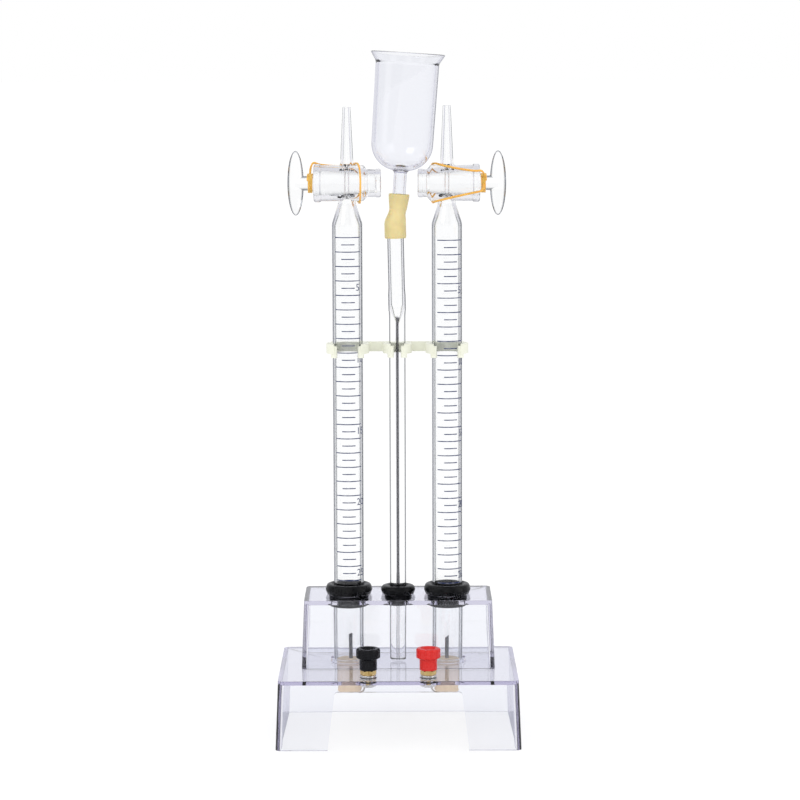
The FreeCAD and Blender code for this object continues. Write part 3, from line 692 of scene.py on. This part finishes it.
class APPARATUS_OT_grommets(bpy.types.Operator):
    """Black rubber grommets in the tank's top."""

    bl_idname = "apparatus.grommets"
    bl_label = "Grommets"

    def execute(self, context):
        settings = context.scene.apparatus_rubber
        black = rubber("black_rubber_finish", tuple(settings.black), 0.008, 0.24, 0.16)
        for node in GROMMETS:
            low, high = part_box(node)
            x = (low.x + high.x) / 2
            wide = (high.x - low.x) / 2
            bore, neck, flange = GROMMETS[node]
            plate_top = TANK_HIGH.z
            plate_under = plate_top - TANK_WALL
            outline = rounded_profile([
                (bore, low.z, 0.4 * MM), (flange - 0.5 * MM, low.z, 0.6 * MM),
                (flange, low.z + 0.9 * MM, 0.5 * MM), (flange, plate_under - 0.9 * MM, 0.4 * MM),
                (flange - 0.6 * MM, plate_under, 0.2 * MM), (neck, plate_under, 0.05 * MM),
                (neck, plate_top, 0.05 * MM), (wide - 0.9 * MM, plate_top, 0.7 * MM),
                (wide, plate_top + 2.2 * MM, 1.3 * MM), (wide - 0.7 * MM, high.z - 0.4 * MM, 1.5 * MM),
                (bore + 1.6 * MM, high.z, 1.2 * MM), (bore, high.z - 1.0 * MM, 0.5 * MM)])
            points, faces = turned(outline, 96)
            points += (x, TUBE_Y, 0)
            piece = new_piece(node + "_ring", points, faces.tolist(), black)
            right_way_out(piece)
            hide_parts(node)
        return {"FINISHED"}


class APPARATUS_OT_connector(bpy.types.Operator):
    """Latex sleeve that joins the funnel's spout to the filling tube."""

    bl_idname = "apparatus.connector"
    bl_label = "Connector"

    def execute(self, context):
        settings = context.scene.apparatus_rubber
        latex = latex_rubber("latex_finish", tuple(settings.latex), 0.42)
        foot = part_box("funnel_connector")[0].z + SLEEVE_FOOT
        rise, outer = np.array(SLEEVE_OUTER).T * MM
        inner = np.interp(rise, *(np.array(SLEEVE_INNER).T * MM))
        fine = np.linspace(0, SLEEVE_LENGTH, 60)
        radius = np.concatenate([np.interp(fine, rise, outer), np.interp(fine, rise, inner)[::-1]])
        height = np.concatenate([fine, fine[::-1]])
        share = np.clip((height / MM - 7.0) / 9.0, 0, 1)
        share = share * share * (3 - 2 * share)
        z = foot + height
        x_low = TUBE_POINT[0] + math.tan(TUBE_LEAN) * (z - TUBE_POINT[1])
        x_high = FUNNEL_POINT[0] + math.tan(FUNNEL_LEAN) * (z - FUNNEL_POINT[1])
        centre = x_low + share * (x_high - x_low)
        lean = TUBE_LEAN + share * (FUNNEL_LEAN - TUBE_LEAN)
        angle = np.linspace(0, 2 * np.pi, 80, endpoint=False)
        u = radius[:, None] * np.cos(angle)
        v = radius[:, None] * np.sin(angle)
        points = np.stack([centre[:, None] + u * np.cos(lean)[:, None], TUBE_Y + v,
                           z[:, None] - u * np.sin(lean)[:, None]], -1).reshape(-1, 3)
        piece = new_piece("funnel_connector_sleeve", points, ring_faces(len(radius), 80).tolist(), latex)
        right_way_out(piece)
        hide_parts("funnel_connector")
        return {"FINISHED"}


# A band's way round its barrel: x along the axis and distance from it in mm, then degrees round it
BAND_ROUTES = {
    "left": [(43.9, 4.7, -20), (43.5, 8.6, -24), (42.1, 11.2, -26), (38.6, 10.35, -28), (31.5, 9.8, -30),
             (23.6, 10.2, -32), (20.4, 10.0, -2), (18.9, 9.9, 34), (18.3, 9.9, 72), (18.3, 9.9, 108),
             (18.5, 9.9, 144), (18.9, 10.0, 180), (20.4, 10.0, 214), (24.0, 10.1, 244), (31.5, 9.8, 250),
             (38.6, 10.35, 251), (42.1, 11.2, 249), (43.5, 8.6, 245), (43.9, 4.7, 240)],
    "right": [(43.9, 4.7, 46), (43.6, 8.4, 52), (42.2, 11.2, 55), (38.6, 10.35, 52), (31.0, 9.8, 41),
              (23.6, 10.2, 29), (19.4, 10.0, 8), (17.7, 9.9, -28), (17.2, 9.9, -64), (17.2, 9.9, -100),
              (17.5, 9.9, -136), (18.2, 9.9, -172), (20.0, 10.1, 153), (28.6, 10.0, 133),
              (38.6, 10.35, 116), (42.2, 11.2, 109), (43.6, 8.4, 103), (43.9, 4.7, 98)],
}


def on_axis(x):
    """The points of the stopcocks' axis at the given x."""
    return np.stack([x, np.full(len(x), TUBE_Y), np.full(len(x), COCK_Z)], -1)


class APPARATUS_OT_bands(bpy.types.Operator):
    """Rubber bands that hold the keys in."""

    bl_idname = "apparatus.bands"
    bl_label = "Rubber bands"

    def execute(self, context):
        settings = context.scene.apparatus_rubber
        amber = latex_rubber("amber_rubber_finish", tuple(settings.amber), 0.30)
        section = rounded_square(settings.band)
        for side, sign in SIDES.items():
            route = np.array(BAND_ROUTES[side])
            turn = np.radians(route[:, 2])
            out = np.stack([np.zeros(len(turn)), -np.sin(turn), np.cos(turn)], -1)
            path = smooth_line(on_axis(sign * route[:, 0] * MM) + out * route[:, 1:2] * MM, 14)
            points, faces = swept(path, section, path - on_axis(path[:, 0]))
            coil_turn = np.linspace(0, 2 * np.pi * COIL_TURNS, COIL_POINTS)
            coil_r = (NECK_R + settings.band / 2) + 0.1 * MM * np.sin(3 * coil_turn)
            coil_x = sign * np.linspace(*COIL_X, COIL_POINTS)
            coil = np.stack([coil_x, TUBE_Y - coil_r * np.sin(coil_turn),
                             COCK_Z + coil_r * np.cos(coil_turn)], -1)
            more, more_faces = swept(coil, section, coil - on_axis(coil_x))
            faces = faces + [[i + len(points) for i in face] for face in more_faces]
            piece = new_piece(side + "_band_loop", np.vstack([points, more]), faces, amber)
            right_way_out(piece)
            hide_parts(side + "_key_band")
        return {"FINISHED"}


class APPARATUS_OT_clamp(bpy.types.Operator):
    """Ivory clamp across the three tubes."""

    bl_idname = "apparatus.clamp"
    bl_label = "Tube clamp"

    def execute(self, context):
        ivory = moulded("ivory_plastic_finish", (0.86, 0.87, 0.73), 0.38, 0.10, 0.5)
        piece = eased_copy("tube_clamp", "tube_clamp_body", 0.5 * MM, ivory)
        return {"FINISHED"}


class APPARATUS_OT_electrodes(bpy.types.Operator):
    """Carbon electrodes, their stoppers, ferrules and wires."""

    bl_idname = "apparatus.electrodes"
    bl_label = "Electrodes"

    def execute(self, context):
        dress([side + "_electrode" for side in SIDES], graphite())
        beige = rubber("beige_rubber_finish", (0.96, 0.76, 0.53), 0.05, 0.50, 0.4)
        dress([side + "_electrode_stopper" for side in SIDES], beige)
        nickel = metal("ferrule_finish", (0.72, 0.71, 0.68), (0.50, 0.47, 0.42), 0.22, 90.0)
        dress([side + "_electrode_ferrule" for side in SIDES], nickel)
        tinned = metal("tinned_wire_finish", (0.74, 0.70, 0.64), (0.55, 0.42, 0.34), 0.30, 20.0)
        dress([post + "_electrode_wire" for post in POSTS], tinned)
        return {"FINISHED"}


class APPARATUS_OT_terminals(bpy.types.Operator):
    """Screw terminals: caps, brass and nickel."""

    bl_idname = "apparatus.terminals"
    bl_label = "Terminals"

    def execute(self, context):
        brass = metal("brass_finish", (0.80, 0.58, 0.24), (0.52, 0.34, 0.12), 0.16, 160.0)
        nickel = metal("nickel_finish", (0.76, 0.75, 0.71), (0.56, 0.53, 0.48), 0.16, 120.0)
        for post in POSTS:
            dress([post + "_post_stud", post + "_post_insert"], brass)
            for part in ("_post_ring", "_post_washer", "_post_lug", "_post_nut"):
                dress([post + part], nickel)
        dress(["black_post_cap"], moulded("black_cap_finish", (0.004, 0.004, 0.006), 0.22, 0.004, 0.2))
        dress(["red_post_cap"], moulded("red_cap_finish", (0.68, 0.018, 0.015), 0.24, 0.01, 0.35))
        return {"FINISHED"}


class APPARATUS_OT_stage(bpy.types.Operator):
    """Pale floor, soft lamps, bright surroundings and the camera."""

    bl_idname = "apparatus.stage"
    bl_label = "Stage"

    def execute(self, context):
        scene = context.scene
        lay_floor(scene)
        scene.world = surroundings()
        for name, place, size, watts in LAMPS:
            data = bpy.data.lights.new(name, "AREA")
            data.size = size
            data.energy = watts
            lamp = bpy.data.objects.new(name, data)
            lamp.location = place
            aim = Vector(LAMP_TARGET) - Vector(place)
            lamp.rotation_euler = aim.to_track_quat("-Z", "Y").to_euler()
            scene.collection.objects.link(lamp)
        set_camera(scene, scene.apparatus_stage)
        scene.view_settings.view_transform = "Standard"
        scene.cycles.max_bounces = 24
        scene.cycles.transmission_bounces = 24
        scene.cycles.glossy_bounces = 12
        scene.cycles.transparent_max_bounces = 32
        return {"FINISHED"}


def lay_floor(scene):
    """A pale disc that glows a little where it is seen, so that only the shadow shows on it."""
    f = Finish("floor_finish")
    shown = f.light_path("Is Camera Ray").math("MAXIMUM", f.light_path("Is Glossy Ray"))
    inside = (f.light_path("Glossy Depth") > 0.5) * f.light_path("Is Transmission Ray")
    paper = f.node("ShaderNodeBsdfDiffuse", {}, {"Color": (0.90, 0.90, 0.90, 1.0)})
    glow = f.blend(f.light_path("Is Reflection Ray"), f.blend(inside, WHITE, INSIDE_GLASS),
                   (0.40, 0.41, 0.45))
    white = f.node("ShaderNodeEmission", {}, {"Color": glow, "Strength": 1.12})
    surface = f.node("ShaderNodeMixShader", {}, {0: shown * 0.62, 1: paper, 2: white})
    ring = np.linspace(0, 2 * np.pi, 96, endpoint=False)
    points = np.stack([FLOOR_R * np.cos(ring), FLOOR_R * np.sin(ring), np.full(96, -FLOOR_DROP)], -1)
    mesh = bpy.data.meshes.new("floor")
    mesh.from_pydata(points.tolist(), [], [list(range(96))])
    mesh.materials.append(f.done(surface))
    floor = bpy.data.objects.new("floor", mesh)
    scene.collection.objects.link(floor)


def surroundings():
    """White all round; mirrors see soft upright stripes, and light trapped in glass a darker white."""
    w = Finish("surroundings", world=True)
    diffuse = w.light_path("Is Diffuse Ray")
    mirror = w.light_path("Is Reflection Ray") * (1 - diffuse)
    trapped = (w.light_path("Glossy Depth") > 0.5) * w.light_path("Is Transmission Ray")
    way = w.node("ShaderNodeTexCoord", out="Generated")
    around = w.node("ShaderNodeTexGradient", {"gradient_type": "RADIAL"}, {"Vector": way}, 1)
    stripe = w.steps((around * (2 * math.pi * STRIPES)).math("SINE"), -0.10, 0.98)
    mirrored = w.blend(stripe, (0.15, 0.16, 0.20), WHITE)
    behind = w.node("ShaderNodeSeparateXYZ", {}, {0: way}, "Y")
    mirrored = w.blend(w.steps(behind, -0.1, 0.7), mirrored, (0.95, 0.96, 1.0))
    seen = w.blend(mirror, w.blend(trapped, WHITE, INSIDE_GLASS), mirrored)
    seen = w.blend(diffuse, seen, WHITE)
    return w.done(w.node("ShaderNodeBackground", {}, {"Color": seen, "Strength": 1.0}))


def set_camera(scene, settings):
    """The camera in front of the tubes, looking down a little."""
    data = bpy.data.cameras.new("camera")
    data.lens = settings.lens
    data.sensor_width = 36.0
    data.clip_start, data.clip_end = 0.05, 200.0
    eye = bpy.data.objects.new("camera", data)
    place = Matrix.Translation((settings.aside, TUBE_Y - settings.distance, settings.height))
    tilt = Matrix.Rotation(math.pi / 2 - settings.pitch, 4, "X")
    eye.matrix_world = place @ tilt @ Matrix.Rotation(-settings.roll, 4, "Z")
    scene.collection.objects.link(eye)
    scene.camera = eye


class APPARATUS_PT_panel(bpy.types.Panel):
    """Lists the apparatus' settings and its pieces."""

    bl_idname = "APPARATUS_PT_panel"
    bl_label = "Apparatus"
    bl_space_type = "VIEW_3D"
    bl_region_type = "UI"
    bl_category = "Apparatus"

    def draw(self, context):
        for name, group in SETTINGS.items():
            box = self.layout.box()
            for key in group.__annotations__:
                box.prop(getattr(context.scene, name), key)
        for operator in OPERATORS:
            self.layout.operator(operator.bl_idname)


SETTINGS = {
    "apparatus_scale": ScaleSettings,
    "apparatus_rubber": RubberSettings,
    "apparatus_stage": StageSettings,
}
OPERATORS = (
    APPARATUS_OT_stand, APPARATUS_OT_glass, APPARATUS_OT_funnel, APPARATUS_OT_scales, APPARATUS_OT_grommets,
    APPARATUS_OT_connector, APPARATUS_OT_bands, APPARATUS_OT_clamp, APPARATUS_OT_electrodes,
    APPARATUS_OT_terminals, APPARATUS_OT_stage,
)


def register():
    for group in SETTINGS.values():
        bpy.utils.register_class(group)
    for name, group in SETTINGS.items():
        setattr(bpy.types.Scene, name, bpy.props.PointerProperty(type=group))
    for operator in OPERATORS:
        bpy.utils.register_class(operator)
    bpy.utils.register_class(APPARATUS_PT_panel)


def unregister():
    bpy.utils.unregister_class(APPARATUS_PT_panel)
    for operator in reversed(OPERATORS):
        bpy.utils.unregister_class(operator)
    for name in SETTINGS:
        delattr(bpy.types.Scene, name)
    for group in reversed(SETTINGS.values()):
        bpy.utils.unregister_class(group)


def main():
    register()
    for operator in OPERATORS:
        family, name = operator.bl_idname.split(".")
        getattr(getattr(bpy.ops, family), name)()


if __name__ == "__main__":
    main()
